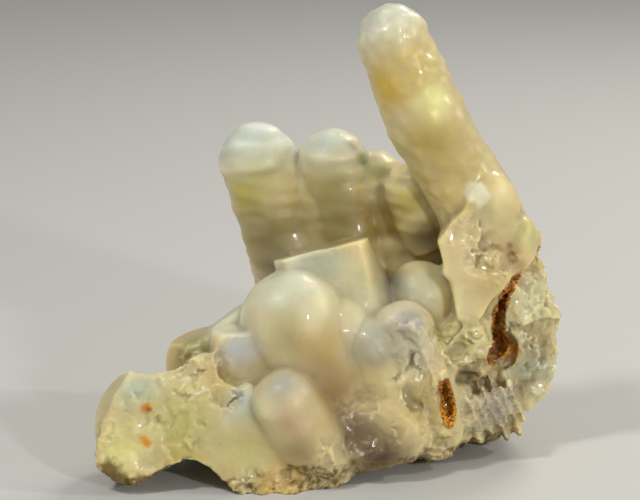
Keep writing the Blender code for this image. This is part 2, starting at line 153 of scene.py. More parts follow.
# Each lump: centre, half sizes, turn about Z and lean about Y in degrees, and its breaks, a break being
# the way it faces and how far out it lies as a share of the lump.
CRUST = [
    ((6, 1, 9), (24, 17, 11), (10, 0), []),
    ((31, 9, 14), (12, 10, 15), (20, 0), [((0.1, -1, 0.1), 0.86), ((0.8, -0.5, -0.3), 0.9)]),
    ((9, 16, 12), (20, 11, 14), (0, 0), [((0.1, 1, 0.35), 0.86)]),
    ((22, 15.5, 33), (10, 6.0, 17), (0, -14), [((0.1, 1, 0.1), 0.8)]),
    ((-19, -6, 8.5), (15, 11, 9.5), (-8, 0), [((-0.2, 0.5, 0.85), 0.78)]),
    ((-34.4, -11.5, 10.0), (9.0, 9.0, 11.2), (10, 0), [((0.25, 0.2, 0.95), 0.84),
                                                       ((-0.1, -0.95, 0.15), 0.86)]),
    ((-15.2, -8.0, 22.8), (7.4, 7.6, 8.6), (0, 4), [((0, -1, 0.12), 0.70), ((-0.1, 0, 1), 0.72),
                                                    ((-1, 0, 0), 0.80)]),
    ((-22.6, -3, 20.5), (7.8, 6.5, 7.6), (25, 0), [((-0.25, 0.1, 0.95), 0.72), ((-0.9, -0.3, 0.1), 0.80)]),
    ((-15.8, -1.5, 23.0), (7.0, 7.0, 8.6), (0, 0), [((-0.5, 0.1, 0.86), 0.78)]),
    ((6.4, -8.2, 7.6), (16, 9.4, 9.4), (-14, 0), [((0.1, -0.86, 0.5), 0.76)]),
    ((19.5, -6, 8.0), (9, 7.5, 8.5), (0, 0), [((0.1, -1, 0.0), 0.80), ((0.5, -0.8, 0.3), 0.84)]),
    ((24.2, -5.4, 4.8), (2.5, 3.0, 5.2), (0, 4), [((0.3, -0.9, 0.1), 0.7)]),
    ((28.4, -1.2, 23.0), (6.4, 5.8, 7.4), (0, 0), [((0.25, -0.9, 0.2), 0.76), ((-0.4, -0.8, 0.4), 0.8)]),
    ((35.6, 14, 26.0), (7.6, 8, 20.0), (0, 0), [((0.9, 0.4, 0.2), 0.76), ((0.1, 1, 0.1), 0.74)]),
    ((27, 17, 15), (12, 9, 14), (0, 0), [((0.2, 1, 0.3), 0.80)]),
    ((32.8, 1.2, 50.5), (5.6, 5.4, 8.0), (0, -24), []),
    ((38.6, 0.6, 42.6), (3.4, 5.0, 6.4), (0, 6), []),
    ((28.0, -3.6, 23.4), (6.0, 5.2, 6.4), (0, 0), [((0.1, -0.96, 0.25), 0.80), ((0.2, -0.3, -0.93), 0.66)]),
    ((6, 20, 9), (17, 8, 9), (6, 0), [((0, 1, 0.2), 0.84)]),
    ((-10, 9, 12), (12, 10, 10), (-20, 0), [((-0.5, 0.6, 0.5), 0.80)]),
]
# Each slab: its outline seen from the front as x and z, front and back y, how its front leans with x and
# z, how much lower its back lies and how much smaller it is, and the width of its worn edge
LEAF = ([(37.2, 50.6), (35.2, 53.5), (30.8, 55.1), (28.4, 53.7), (27.1, 51.0), (25.0, 49.2), (23.1, 46.2),
         (22.2, 45.1), (23.4, 40.7), (23.3, 38.7), (25.2, 36.9), (25.8, 33.7), (26.1, 29.1), (28.4, 28.1),
         (30.4, 28.7), (31.9, 31.1), (33.2, 33.1), (35.6, 35.1), (37.3, 37.3), (38.6, 39.9), (39.3, 43.1),
         (38.8, 46.0)],
        (-5.0, 6.0), (0.16, 0.10), 1.0, 0.9, 0.8)
WALL = ([(38.8, 35.4), (40.1, 38.5), (40.5, 40.9), (39.8, 44.0), (41.1, 46.2), (43.1, 45.6), (43.9, 42.3),
         (42.8, 40.9), (44.9, 38.5), (44.7, 36.1), (43.2, 34.6), (44.8, 32.6), (46.8, 29.7), (47.5, 26.2),
         (47.4, 21.5), (46.5, 15.9), (44.6, 10.6), (41.5, 7.7), (38.3, 9.0), (35.4, 12.5), (33.3, 16.5),
         (38.1, 17.9), (38.4, 21.9), (36.7, 25.6), (37.2, 31.2)],
        (1.6, 17.0), (0.22, 0.0), 2.0, 0.72, 1.2)
LOW_FACE = ([(-36.1, 22.7), (-39.2, 18.2), (-41.8, 12.0), (-43.0, 8.2), (-42.4, 5.5), (-39.8, 2.7),
             (-35.6, 1.7), (-32.3, 3.1), (-27.5, 5.7), (-23.7, 6.1), (-20.3, 4.3), (-15.6, -0.4),
             (-12.0, -3.0), (-6.4, -3.0), (-3.4, -0.6), (-0.4, 2.2), (-3.8, 9.6), (-9.8, 16.6),
             (-13.2, 19.9), (-18.2, 20.3), (-19.7, 26.1), (-24.4, 26.1), (-27.2, 23.1), (-31.9, 22.1)],
            (-19.6, -5.0), (0.06, 0.30), 5.0, 0.88, 1.1)
# Each row of ribs: how many, the first one's middle, the step to the next, half size and lean
RIB_ROWS = [(5, (27.2, -2.2, 9.8), (2.6, 0.7, 0.2), (1.4, 5.6, 7.4), -16),
            (7, (28.2, -6.4, 11.0), (1.7, 0.46, 0.25), (0.66, 2.6, 4.4), -24)]
RIB_UNEVEN, RIB_RHYTHM = 0.16, 2.4


def add_lump(growth, centre, half_size, turn_and_lean=(0, 0), breaks=()):
    """An ellipsoid of crust, with flat breaks across it."""
    lump = bmesh.new()
    bmesh.ops.create_icosphere(lump, subdivisions=4, radius=1)
    for normal, share in breaks:
        way = Vector(normal).normalized()
        break_off(lump, way * share, way)
    turn, lean = (math.radians(angle) for angle in turn_and_lean)
    place = (Matrix.Translation(centre) @ Matrix.Rotation(turn, 4, "Z") @ Matrix.Rotation(lean, 4, "Y")
             @ Matrix.Diagonal((*half_size, 1)))
    bmesh.ops.transform(lump, matrix=place, verts=lump.verts)
    add_to(growth, lump)


def add_slab(growth, outline, faces, lean, drop, taper, edge):
    """A thick plate of broken chalcedony with worn edges, its front leaning with x and z."""
    slab = bmesh.new()
    middle = Vector((sum(x for x, _ in outline), sum(z for _, z in outline))) / len(outline)
    centre = Matrix.Translation((-middle.x, 0, -middle.y))
    worn = 1 - edge * len(outline) / sum((Vector(spot) - middle).length for spot in outline)
    rim = [slab.verts.new((x, faces[0] + lean[0] * (x - middle.x) + lean[1] * (z - middle.y), z))
           for x, z in outline]
    face = slab.faces.new(rim)
    bmesh.ops.scale(slab, verts=rim, vec=(worn, 1, worn), space=centre)
    thickness = faces[1] - faces[0]
    for share, back, fall in ((1 / worn, edge, 0), (taper, thickness - 2 * edge, drop), (worn, edge, 0)):
        grown = bmesh.ops.extrude_face_region(slab, geom=[face])["geom"]
        moved = [part for part in grown if isinstance(part, bmesh.types.BMVert)]
        face = next(part for part in grown if isinstance(part, bmesh.types.BMFace))
        bmesh.ops.scale(slab, verts=moved, vec=(share, 1, share), space=centre)
        bmesh.ops.translate(slab, verts=moved, vec=(0, back, -fall))
    add_to(growth, slab)


for centre, half_size, turn_and_lean, breaks in CRUST:
    add_lump(growth, centre, half_size, turn_and_lean, breaks)
for slab in (LEAF, WALL, LOW_FACE):
    add_slab(growth, *slab)
for count, first, step, half_size, lean in RIB_ROWS:
    for i in range(count):
        length = half_size[2] * (1 + RIB_UNEVEN * math.sin(RIB_RHYTHM * i))
        add_lump(growth, Vector(first) + Vector(step) * i, (*half_size[:2], length), (0, lean))


# The hollows: two narrow clefts that weathered out at the right, full of rust, and the low arches
# between the feet. The lumps, slabs and fingers are one growth, so they are fused into one skin first.
CLEFTS = [
    ((36.9, 0.5, 34.8), (0.45, 5.6, 2.8), (0, 28), []),
    ((35.4, 0.3, 31.2), (0.7, 6.0, 2.8), (0, 12), []),
    ((34.8, 0.0, 27.2), (1.0, 6.4, 3.2), (0, -4), []),
    ((34.4, 1.0, 22.2), (2.8, 8.0, 2.7), (0, -18), []),
    ((24.1, -12.2, 16.6), (0.85, 4.4, 3.4), (0, -10), [((0, 0, 1), 0.7)]),
    ((24.6, -12.2, 13.6), (1.15, 4.2, 3.0), (0, -6), []),
]
# The gap under the ledge of the glassy block has no rust
LEDGE_GAP = ((28.8, -6.4, 17.6), (3.2, 3.4, 1.3), (0, 8), [])
ARCHES = [
    ((-23.5, -14, -1.2), (8.2, 16, 6.2)),
    ((18, -14, -3.4), (18, 12, 6.4)),
    ((2, 4, -4), (25, 14, 8)),
    ((-14, 14, -2), (16, 15, 8)),
    ((24, 27, -2), (10, 12, 6)),
]
SKIN_GRAIN = 0.44


def object_from(piece, name):
    """A scene object from a bmesh in millimetres, its faces turned outwards."""
    bmesh.ops.recalc_face_normals(piece, faces=piece.faces)
    mesh = bpy.data.meshes.new(name)
    piece.to_mesh(mesh)
    piece.free()
    obj = bpy.data.objects.new(name, mesh)
    bpy.context.scene.collection.objects.link(obj)
    return obj


def settle(obj):
    """Makes the object's modifiers permanent."""
    graph = bpy.context.evaluated_depsgraph_get()
    mesh = bpy.data.meshes.new_from_object(obj.evaluated_get(graph))
    obj.modifiers.clear()
    obj.data = mesh


def fuse(obj):
    """Fuses overlapping shapes into one closed skin."""
    remesh = obj.modifiers.new("fuse", "REMESH")
    remesh.mode = "VOXEL"
    remesh.voxel_size = SKIN_GRAIN
    settle(obj)


stone = object_from(growth, "agate_stone")
fuse(stone)
hollows = bmesh.new()
for centre, half_size in ARCHES:
    add_lump(hollows, centre, half_size)
for centre, half_size, turn_and_lean, breaks in [*CLEFTS, LEDGE_GAP]:
    add_lump(hollows, centre, half_size, turn_and_lean, breaks)
cutter = object_from(hollows, "hollows")
fuse(cutter)
cut = stone.modifiers.new("hollow_out", "BOOLEAN")
cut.operation = "DIFFERENCE"
cut.object = cutter
settle(stone)
bpy.data.objects.remove(cutter)
fuse(stone)


# The stone's skin. Fingers and domes have a waxy skin of small soft knobs, in rows on the tall finger and
# as flat wrinkles on the back row. The crust broke in shell-shaped chips that meet in sharp ridges, and
# its broken quartz is pitted like coarse sugar.
KNOB_SIZE, KNOB_HEIGHT, KNOB_SHARE = 2.9, 0.55, 0.16
WRINKLE_SIZE, WRINKLE_HEIGHT = (7.0, 7.0, 1.9), 0.45
SWELL_SIZE, SWELL_HEIGHT = 6.5, 0.35
# Chips in three sizes: how wide, how deep, and how uneven, tilted and hollow they are
CHIPS = ((5.2, 1.3, 0.6, 1.9, 0.6), (2.5, 0.90, 0.7, 2.1, 0.4))
CHIP_DRIFT, DRIFT_SIZE = 1.3, 2.6
# The sugary places have a third, finer size of chip and grit between
CRUMBS = (1.15, 0.22, 0.7, 1.8, 0.4)
GRIT_SIZE, GRIT_HEIGHT = 0.9, 0.22
SUGARY_PLACES = [((30.5, -6, 11), 8.5), ((30.4, -5, 43.8), 4.2), ((33.6, -4, 37.5), 3.2), ((21, -13, 9), 6.0)]
# The relief at which the chips neither stand out nor lie back, and the same for the knobs
CHIP_LEVEL, KNOB_LEVEL = 0.1, 0.5
# Where the stone is broken: middle, reach and how much
ROUGH_PLACES = [
    # the right wall and its back
    ((41, 6, 36), 10, 1.0), ((43, 5, 22), 13, 1.0), ((30, 22, 18), 16, 1.0),
    # the leaf's pitted middle and the crumbs beside it
    ((27.8, -5, 47.0), 3.6, 0.8), ((31.4, -5, 42.6), 4.2, 0.8), ((36.6, -2, 40.5), 3.4, 0.9),
    # the glassy block between the leaf and the slot, and the ribs
    ((28.0, -5, 23), 7, 1.0), ((22.6, -8, 26), 3.5, 1.0), ((32, -4, 9), 9, 0.45), ((36, -3, 16), 5, 0.7),
    # the sprung dome
    ((18.6, -12, 25), 7.5, 1.0), ((20, -12, 17), 6, 0.7),
    # the rubble behind the low face, its chipped left edge and its foot
    ((-24, -12, 20), 8, 0.7), ((-18, -16.5, 18.5), 4, 0.6), ((-30, -16, 12), 12, 0.42),
    ((-41, -18, 8), 5, 0.9), ((-34, -12, 6), 9, 0.6),
    # the egg's right flank and the broken front foot
    ((1.5, -20, 6), 5, 0.6), ((8, -14, 4), 10, 0.55), ((20, -8, 4), 8, 0.9),
    # the underside and the back
    ((6, 0, -2), 22, 1.0), ((-10, 14, 4), 14, 1.0),
]
# The whole foot line is ragged up to this height, and the raggedness fades in over this much more
RAGGED_TOP, RAGGED_FADE, RAGGED_SHARE = 3.0, 3.0, 0.8
ROUGH_FADE, ROUGH_EDGE, ROUGH_LEAST = 2.2, 1.15, 0.01
# The round ends keep this share of it, as far out as this many of their radii
SMOOTH_END, SMOOTH_SHARE = 1.3, 0.3
# So does the skin in the gap under the ledge, and this far around it
GAP_RIM = 0.8


def drift_at(point):
    """Three noises at a point, read well apart from each other."""
    return Vector(noise.noise(point + Vector((shift, 0, 0))) for shift in (0, 31, 67))


def chip_relief(point, size, step, tilt, hollow):
    """How far a broken face stands out at a point: shell-shaped chips that meet in ridges."""
    spot = point / size
    heights = []
    for seed in noise.voronoi(spot)[1]:
        away = spot - seed
        lean = drift_at(seed * 7.3)
        heights.append(step * noise.noise(seed * 3.1) + tilt * lean.dot(away) + hollow * away.length_squared)
    return min(heights)


def off_hollow(point, centre, half_size, turn_and_lean, breaks):
    """How far a point lies outside a hollow's own shape, in millimetres."""
    away = Matrix.Rotation(math.radians(-turn_and_lean[1]), 3, "Y") @ (point - Vector(centre))
    share = Vector(part / half for part, half in zip(away, half_size))
    past = [(share.dot(Vector(normal)) - reach) * max(half_size) for normal, reach in breaks]
    return max([(share.length - 1) * min(half_size)] + past)


def roughness_at(point):
    """1 on the broken crust, 0 on the smooth domes and fingers."""
    share = RAGGED_SHARE * max(0.0, min(1.0, (RAGGED_TOP + RAGGED_FADE - point.z) / RAGGED_FADE))
    for centre, reach, amount in ROUGH_PLACES:
        away = (point - Vector(centre)).length / reach
        share = max(share, amount * min(1.0, ROUGH_FADE * (ROUGH_EDGE - away)))
    for path in [TALL_FINGER, *BACK_FINGERS.values(), *FRONT_FINGERS.values()]:
        end, radius = Vector(path[-1][0]), path[-1][1]
        if (point - end).length < radius * SMOOTH_END:
            share *= SMOOTH_SHARE
    if off_hollow(point, *LEDGE_GAP) < GAP_RIM:
        share *= SMOOTH_SHARE
    return max(0.0, share)


def sugar_at(point):
    """1 in the inner half of a sugary place, 0 off it."""
    return max(max(0.0, min(1.0, 2.0 - 2.0 * (point - Vector(centre)).length / reach))
               for centre, reach in SUGARY_PLACES)


# A finger's own finish falls by one over OWN_FADE millimetres off its skin, from OWN_KEPT, so close to the
# skin it is whole
OWN_FADE, OWN_KEPT = 1.2, 1.6


def nearness(point, stations):
    """1 on a finger's own skin, falling to 0 two millimetres off it."""
    best = math.inf
    for (a, ra), (b, rb) in zip(stations, stations[1:]):
        a, b = Vector(a), Vector(b)
        along = max(0.0, min(1.0, (point - a).dot(b - a) / (b - a).length_squared))
        best = min(best, abs((point - a.lerp(b, along)).length - (ra + (rb - ra) * along)))
    return max(0.0, min(1.0, OWN_KEPT - best / OWN_FADE))


def relief_at(point, rough):
    """How far the finished skin lies from the plain fused form, in millimetres."""
    knobs = KNOB_LEVEL - noise.voronoi(point / KNOB_SIZE)[0][0]
    wrinkled = noise.noise(Vector((point.x / WRINKLE_SIZE[0], point.y / WRINKLE_SIZE[1],
                                   point.z / WRINKLE_SIZE[2])))
    tall = nearness(point, TALL_FINGER)
    back = max(nearness(point, path) for path in BACK_FINGERS.values())
    smooth = 1.0 - rough
    height = SWELL_HEIGHT * noise.noise(point / SWELL_SIZE) * smooth
    height += KNOB_HEIGHT * knobs * smooth * max(tall, KNOB_SHARE)
    height += WRINKLE_HEIGHT * wrinkled * smooth * back * (1 - tall)
    if rough > ROUGH_LEAST:
        drifted = point + CHIP_DRIFT * drift_at(point / DRIFT_SIZE)
        for size, depth, step, tilt, hollow in CHIPS:
            height += rough * depth * (chip_relief(drifted, size, step, tilt, hollow) - CHIP_LEVEL)
    sugar = sugar_at(point)
    if sugar > ROUGH_LEAST:
        size, depth, step, tilt, hollow = CRUMBS
        height += sugar * depth * (chip_relief(point, size, step, tilt, hollow) - CHIP_LEVEL)
        height += sugar * GRIT_HEIGHT * noise.noise(point / GRIT_SIZE)
    return height


skin = bmesh.new()
skin.from_mesh(stone.data)
skin.normal_update()
moves = [vert.normal * relief_at(vert.co, roughness_at(vert.co)) for vert in skin.verts]
for vert, move in zip(skin.verts, moves):
    vert.co += move
skin.to_mesh(stone.data)
skin.free()

STONE_TRIANGLES = 185000
thin = stone.modifiers.new("thin", "DECIMATE")
thin.ratio = min(1.0, STONE_TRIANGLES / sum(len(p.vertices) - 2 for p in stone.data.polygons))
settle(stone)
flat = bmesh.new()
flat.from_mesh(stone.data)
break_off(flat, Vector((0, 0, 0)), Vector((0, 0, -1)))
bmesh.ops.triangulate(flat, faces=flat.faces)
flat.to_mesh(stone.data)
flat.free()


# The stone's colours. Chalcedony is colourless; iron stains it honey and olive, and its finest layers are
# milky, with the bluish light they scatter at every rounded tip painted in. A rind of ochre clay still clings
# under the feet.

# Each stain, or patch of painted shade or glow: its middle, reach, how strong it is at the middle, and its
# colour.
HONEY = (0.60, 0.44, 0.15)
CREAM = (0.80, 0.71, 0.42)
# a bluish milk, with the light it scatters painted in
MILK_AND_LIGHT = (0.72, 0.83, 0.80)
STAINS_AND_PAINTED_LIGHT = [
    # cream, gold and olive in the tall finger, with a painted lemon glow at its heart
    ((16, -4, 82), 6, 0.8, (0.74, 0.60, 0.24)),
    ((18.7, -4, 77), 4.5, 0.8, (0.72, 0.57, 0.17)),
    ((21.5, -4, 71.6), 3.8, 1.0, (0.98, 0.95, 0.44)),
    ((12.5, -2, 74), 4.5, 0.9, (0.74, 0.50, 0.03)),
    ((21, -4, 64.6), 5.5, 0.85, (0.52, 0.40, 0.06)),
    ((26.5, -3, 57.5), 7, 0.8, (0.58, 0.45, 0.13)),
    # the back row, green-gold, and darkened towards its root with painted shade
    ((-12, 8, 56), 5, 0.8, (0.54, 0.51, 0.19)),
    ((-13, 11, 63), 5, 0.5, (0.56, 0.60, 0.54)),
    ((1, 13, 61.5), 5, 0.9, (0.44, 0.47, 0.38)),
    ((-15, 9, 50), 4, 0.85, (0.60, 0.52, 0.07)),
    ((-9.8, 8, 43), 8, 0.85, (0.27, 0.22, 0.07)),
    ((-9, 8.5, 36), 6, 0.9, (0.26, 0.19, 0.05)),
    ((2, 9, 54), 5, 0.85, (0.37, 0.32, 0.09)),
    ((4, 9, 45), 8, 0.9, (0.28, 0.23, 0.07)),
    ((10.3, 13, 56), 4, 0.8, (0.44, 0.44, 0.16)),
    ((12, 10.6, 45), 6, 0.95, (0.34, 0.23, 0.03)),
    # painted shadow: the deep recess right of the broken finger
    ((14, 0.5, 35), 4.5, 1.0, (0.04, 0.02, 0.005)),
    ((17, 5, 51), 4, 0.85, (0.45, 0.40, 0.09)),
    # painted shade on the lower right of the drip
    ((21, 6, 42.5), 4.5, 1.0, (0.20, 0.14, 0.03)),
    # the broken finger and the pale dome
    ((0, -4, 43), 5, 0.9, (0.34, 0.33, 0.18)),
    ((7, -5, 36), 7, 0.8, (0.70, 0.64, 0.33)),
    ((19.3, -2.3, 36.6), 5, 0.85, (0.48, 0.46, 0.25)),
    # the great dome: cream above, with a painted warm glow in its heart below
    ((-6.6, -12, 38), 6, 0.8, (0.55, 0.55, 0.36)),
    ((-5.6, -15.6, 31.5), 5, 0.9, (0.48, 0.38, 0.12)),
    ((0, -15.5, 24), 6.5, 0.9, (0.50, 0.33, 0.08)),
    ((2, -15, 18), 6, 0.9, (0.36, 0.22, 0.07)),
    # the small dome and the sprung one, a little lilac
    ((10, -12.5, 27), 5, 0.85, (0.35, 0.33, 0.25)),
    ((17, -11, 31.5), 4, 0.9, (0.40, 0.35, 0.32)),
    ((18, -12, 25), 5, 0.7, (0.66, 0.62, 0.48)),
    # the brown front foot
    ((19, -12, 13.4), 5, 0.8, (0.62, 0.50, 0.23)),
    ((5.7, -15.6, 10.7), 5, 1.0, (0.23, 0.15, 0.09)),
    ((11.4, -17, 6), 6, 1.0, (0.07, 0.022, 0.002)),
    # the egg-shaped dome: lilac grey above, pink in its middle
    ((-7, -20, 21), 4, 0.9, (0.32, 0.30, 0.27)),
    ((-4.7, -21.6, 14.5), 4.5, 0.85, (0.56, 0.40, 0.24)),
    ((-3.8, -22, 8.5), 4, 0.8, (0.37, 0.27, 0.12)),
    # the lilac block and the shoulder behind it
    ((-15.2, -13, 26), 4, 0.9, (0.66, 0.69, 0.76)),
    ((-24, -7.7, 25.2), 4.5, 0.8, (0.36, 0.38, 0.14)),
    ((-17.3, -7, 29), 4.6, 1.0, (1.0, 1.0, 0.72)),
    # the yellow low face, greenish white at its upper left
    ((-34, -17, 20), 5, 0.8, (0.64, 0.74, 0.58)),
    ((-26, -19, 13), 8, 0.8, (0.64, 0.61, 0.22)),
    ((-37.6, -21, 8.6), 5, 0.8, (0.96, 0.90, 0.38)),
    ((-14, -18, 15), 4, 0.8, (0.64, 0.67, 0.50)),
    # painted light on the top edge of the ledge left of the egg
    ((-14.5, -17.6, 18), 2.4, 0.8, (0.66, 0.74, 0.68)),
    ((-14, -19.5, 7.5), 5, 0.8, (0.68, 0.64, 0.26)),
    ((-26, -20.5, 7), 4, 0.7, (0.60, 0.49, 0.09)),
    ((-7.6, -21.4, 1.2), 5, 0.8, (0.74, 0.48, 0.11)),
    ((25.3, -2, 52.5), 4, 0.9, (0.84, 0.68, 0.30)),
    # the leaf, with a glassy flake at its top whose white is partly a painted highlight, and rust along its
    # right edge
    ((31.4, -4, 51.0), 3.5, 0.8, (0.60, 0.55, 0.28)),
    ((29, -5, 44), 7, 0.8, (0.78, 0.65, 0.36)),
    ((33, -5, 36), 6, 0.8, (0.64, 0.48, 0.18)),
    ((36.8, -2, 42), 3, 0.8, (0.48, 0.28, 0.08)),
    # the right wall, the glassy block and the grey ribs
    ((41, -2, 45.5), 4, 0.8, (0.48, 0.46, 0.20)),
    ((42, 0, 32), 6, 0.8, (0.80, 0.77, 0.48)),
    ((41.4, 1.6, 17), 7, 0.85, (0.54, 0.55, 0.40)),
    ((27.4, -6, 24.6), 5, 0.9, (0.66, 0.61, 0.30)),
    ((29, -6.4, 13.6), 3.4, 0.8, (0.80, 0.70, 0.46)),
    ((34.5, -5, 12), 5, 0.9, (0.40, 0.36, 0.31)),
    # the back and the left side: olive between the rear fingers, cream on the broken crust
    ((-6, 26, 20), 8, 0.7, (0.42, 0.36, 0.12)),
    ((9, 27, 14), 8, 0.7, (0.46, 0.35, 0.13)),
    ((18, 24, 34), 8, 0.7, (0.54, 0.48, 0.20)),
    ((2, 22, 44), 7, 0.7, (0.40, 0.35, 0.11)),
    ((30, 26, 18), 9, 0.7, (0.60, 0.58, 0.42)),
    ((27, 11, 55), 7, 0.6, (0.60, 0.48, 0.16)),
    ((-26, 6, 14), 8, 0.7, (0.66, 0.64, 0.32)),
    ((-42, -8, 12), 6, 0.7, (0.70, 0.72, 0.46)),
]
# Small marks with a sharper, ragged edge: middle, reach and colour
MARKS = [
    # clay on the left foot
    ((-39.8, -21.5, 4.3), 1.9, (0.22, 0.15, 0.02)),
    ((-38.0, -21.5, 3.2), 1.9, (0.22, 0.15, 0.02)),
    ((-36.2, -21.5, 2.5), 1.4, (0.26, 0.18, 0.03)),
    ((-33.6, -21.5, 3.0), 1.1, (0.26, 0.18, 0.03)),
    # the cavity's rim, and the shade in the gap under the ledge
    ((37.8, 0.5, 20.4), 2.0, (0.60, 0.38, 0.09)),
    ((29.0, -5.5, 17.8), 1.9, (0.20, 0.15, 0.07)),
    # a glassy flake on the leaf's shoulder, pale, and brightened with a painted highlight
    ((30.4, -4.2, 53.9), 1.8, (0.88, 0.84, 0.62)),
    ((29.0, -4.2, 54.6), 1.4, (0.88, 0.84, 0.62)),
    # rust specks and one dark dot on the low face
    ((-32.6, -18.5, 16.1), 0.9, (0.80, 0.36, 0.02)),
    ((-33.3, -20.1, 10.3), 0.9, (0.84, 0.42, 0.04)),
    ((-32.2, -18.5, 15.7), 0.45, (0.40, 0.11, 0.01)),
    ((-32.5, -20.1, 9.8), 0.6, (0.85, 0.36, 0.02)),
    ((-30.4, -18.6, 14.3), 0.5, (0.12, 0.06, 0.02)),
    # brown streaks down the leaf's right edge
    ((36.4, -3, 43.8), 0.5, (0.42, 0.20, 0.05)),
    ((36.8, -3, 42.2), 0.5, (0.42, 0.20, 0.05)),
    ((37.0, -3, 40.6), 0.5, (0.42, 0.20, 0.05)),
    ((38.0, -2, 42.6), 0.5, (0.50, 0.24, 0.06)),
]
# The milk at each rounded tip, with the bluish light it scatters painted in, and how strong it is
MILK_AND_LIGHT_ON_TIPS = [
    (TALL_FINGER, 0.6), (BACK_FINGERS["left"], 0.75), (BACK_FINGERS["middle"], 0.45),
    (BACK_FINGERS["right"], 0.12), (BACK_FINGERS["drip"], 0.05), (FRONT_FINGERS["great_dome"], 0.35),
    (CHIPPED_DOME, 0.2), (FRONT_FINGERS["foot_dome"], 0.2), (FRONT_FINGERS["pale_dome"], 0.12),
    (FRONT_FINGERS["small_dome"], 0.12), (BACK_FINGERS["rear"], 0.8), (BACK_FINGERS["rear_low"], 0.8),
]
# Rust falls by one over RUST_REACH millimetres off a cleft, from RUST_KEPT. It also marks the foot of the low
# cleft and the back of the cavity, RUST_SPREAD times as far out as each spot's reach.
RUST_REACH, RUST_KEPT, RUST_SPREAD = 0.5, 1.2, 1.3
RUST_SPOTS = [((24.6, -9.6, 10.6), 1.8), ((36.2, 3.0, 21.0), 3.4)]
# The tall finger is glossier than the domes
TALL_GLAZE = 0.35
# The rind's upper edge, over how far it thins out, how much higher it reaches on what faces the ground, and
# how ragged it is; then how much an upright face keeps, how fast that falls as a face turns up, and the least
RIND_TOP, RIND_FADE, RIND_UNDER = 4.6, 2.0, 5.0
RIND_RAGGED, RIND_PATCH = 2.2, 3.0
RIND_UPRIGHT, RIND_TILT, RIND_LEAST = 0.75, 1.5, 0.25
# How much honey is in the cream, how much that varies, and the size of its patches
HONEY_SHARE, HONEY_SWING, HONEY_PATCH = 0.35, 0.35, 9.0
# Stains and painted patches spread this many times their reach, and their edges wander. Marks are sharper,
# three times as deep as they are wide, and ragged at a finer grain.
STAIN_SPREAD, STAIN_WANDER, WANDER_SIZE = 1.5, 1.5, 5.0
MARK_SHARPNESS, MARK_DEPTH, MARK_WANDER, MARK_GRAIN = 2.5, 3, 0.7, 1.3
# The milk starts this share of the radius below the middle of a finger's end and is gone this many radii off
MILK_START, MILK_REACH, MILK_SHARPNESS = 0.25, 2.2, 2.5


def fade(distance, reach):
    """1 at the middle, falling softly to 0 at the reach."""
    share = max(0.0, 1.0 - distance / reach)
    return share * share * (3 - 2 * share)


def colour_at(point):
    """The stone's colour at a point, with its painted glow, shade and scattered light, without the rust or
    the rind.
    """
    honey = HONEY_SHARE + HONEY_SWING * noise.noise(point / HONEY_PATCH)
    colour = Vector(CREAM).lerp(Vector(HONEY), honey)
    drift = drift_at(point / WANDER_SIZE) * STAIN_WANDER
    for middle, reach, strength, tint in STAINS_AND_PAINTED_LIGHT:
        share = strength * fade((point + drift - Vector(middle)).length, reach * STAIN_SPREAD)
        colour = colour.lerp(Vector(tint), share)
    for path, strength in MILK_AND_LIGHT_ON_TIPS:
        end, radius = Vector(path[-1][0]), path[-1][1]
        way = (end - Vector(path[-2][0])).normalized()
        share = max(0.0, min(1.0, ((point - end).dot(way) / radius + MILK_START)))
        near = fade((point - end).length, radius * MILK_REACH)
        colour = colour.lerp(Vector(MILK_AND_LIGHT), strength * share * min(1.0, near * MILK_SHARPNESS))
    ragged = drift_at(point / MARK_GRAIN)
    for middle, reach, mark in MARKS:
        away = point + ragged * reach * MARK_WANDER - Vector(middle)
        away.y /= MARK_DEPTH
        share = min(1.0, MARK_SHARPNESS * fade(away.length, reach * STAIN_SPREAD))
        colour = colour.lerp(Vector(mark), share)
    return colour


# Painted shade darkens the creases, with some iron stain in them, and painted light brightens thin ridges as
# if lit through. Both are read off the skin by how far it lies under or over a softened copy of itself, in
# millimetres.
SOFTENING = 24
CREASE_DEPTH, CREASE_SHARE, CREASE_SHADE_COLOUR = 0.60, 0.42, (0.30, 0.20, 0.06)
RIDGE_START, RIDGE_HEIGHT, RIDGE_PAINTED_LIGHT = 0.35, 0.5, 0.25


def creases_of(mesh):
    """How deep each point of the skin lies in a crease, in millimetres, and less than nothing on a ridge."""
    soft = bmesh.new()
    soft.from_mesh(mesh)
    for _ in range(SOFTENING):
        bmesh.ops.smooth_vert(soft, verts=soft.verts, factor=1.0, use_axis_x=True, use_axis_y=True,
                              use_axis_z=True)
    depths = [(moved.co - vertex.co).dot(vertex.normal) for moved, vertex in zip(soft.verts, mesh.vertices)]
    soft.free()
    return depths


def shaded(colour, depth):
    """A stone colour, darker in a crease with painted shade, and paler on a ridge with painted light."""
    crease = max(0.0, min(1.0, depth / CREASE_DEPTH))
    ridge = max(0.0, min(1.0, (-depth - RIDGE_START) / RIDGE_HEIGHT))
    colour = colour.lerp(Vector(CREASE_SHADE_COLOUR), CREASE_SHARE * crease)
    return Vector(min(1.0, part * (1 + RIDGE_PAINTED_LIGHT * ridge)) for part in colour)


def off_cleft(point):
    """How far a point lies outside the nearest cleft's own shape, in millimetres."""
    return min(off_hollow(point, *cleft) for cleft in CLEFTS)


def rust_at(point):
    """1 on the rusty walls of the clefts and in the rust spots."""
    in_cleft = max(0.0, min(1.0, RUST_KEPT - off_cleft(point) / RUST_REACH))
    in_spots = [fade((point - Vector(middle)).length, reach * RUST_SPREAD) for middle, reach in RUST_SPOTS]
    return max([in_cleft] + in_spots)


